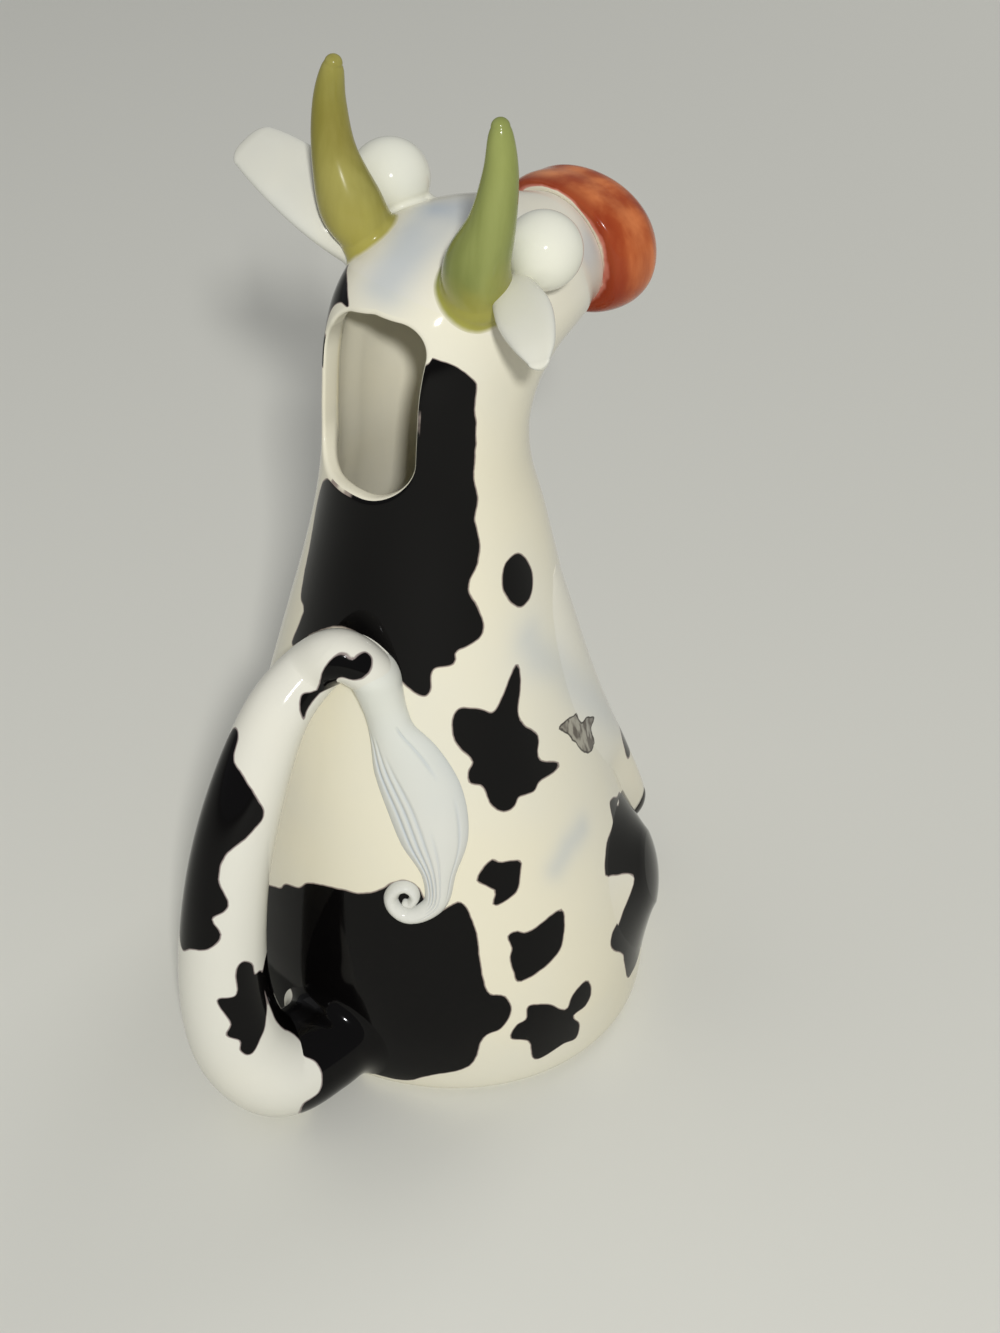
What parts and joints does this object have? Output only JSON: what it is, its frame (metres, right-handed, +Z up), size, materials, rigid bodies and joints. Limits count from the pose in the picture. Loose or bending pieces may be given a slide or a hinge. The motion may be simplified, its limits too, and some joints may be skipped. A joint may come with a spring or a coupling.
{
  "type": "cow creamer",
  "caption": "Seated cow cream jug in glazed pottery: filled through an opening in the nape, poured through the mouth, with the tail as its handle.",
  "frame": {"origin": "on the table under the axis of the belly, in the flat of the foot", "axes": "+Z up through the crown; the cow looks along -Y and its tail handle is at +Y; the cow's left side is +X"},
  "size_m": [0.0908, 0.1214, 0.1995],
  "materials": {
    "body_glaze": "glossy cream glaze with black patches",
    "head_glaze": "glossy cream glaze with a pale blue-grey band over the crown",
    "muzzle_glaze": "glossy brushed rust-red glaze",
    "horn_glaze": "glossy olive-green glaze, yellower towards the root",
    "ear_glaze": "glossy pale grey-white glaze",
    "eye_glaze": "glossy white glaze",
    "tail_glaze": "glossy white glaze with black patches",
    "tuft_glaze": "glossy white glaze shaded pale blue-grey, with modelled hair",
    "leg_glaze": "glossy cream glaze with black patches",
    "hoof_glaze": "glossy dark grey glaze"
  },
  "bodies": {
    "root": {"body_shell": "body_glaze", "head_shell": "head_glaze", "muzzle": "muzzle_glaze", "horn_left": "horn_glaze", "horn_right": "horn_glaze", "ear_left": "ear_glaze", "ear_right": "ear_glaze", "eye_left": "eye_glaze", "eye_right": "eye_glaze", "tail_handle": "tail_glaze", "tail_tuft": "tuft_glaze", "foreleg_left": "leg_glaze", "foreleg_right": "leg_glaze", "front_hoof_left": "hoof_glaze", "front_hoof_right": "hoof_glaze", "thigh_left": "leg_glaze", "thigh_right": "leg_glaze", "hind_hoof_left": "hoof_glaze", "hind_hoof_right": "hoof_glaze"}
  },
  "joints": []
}
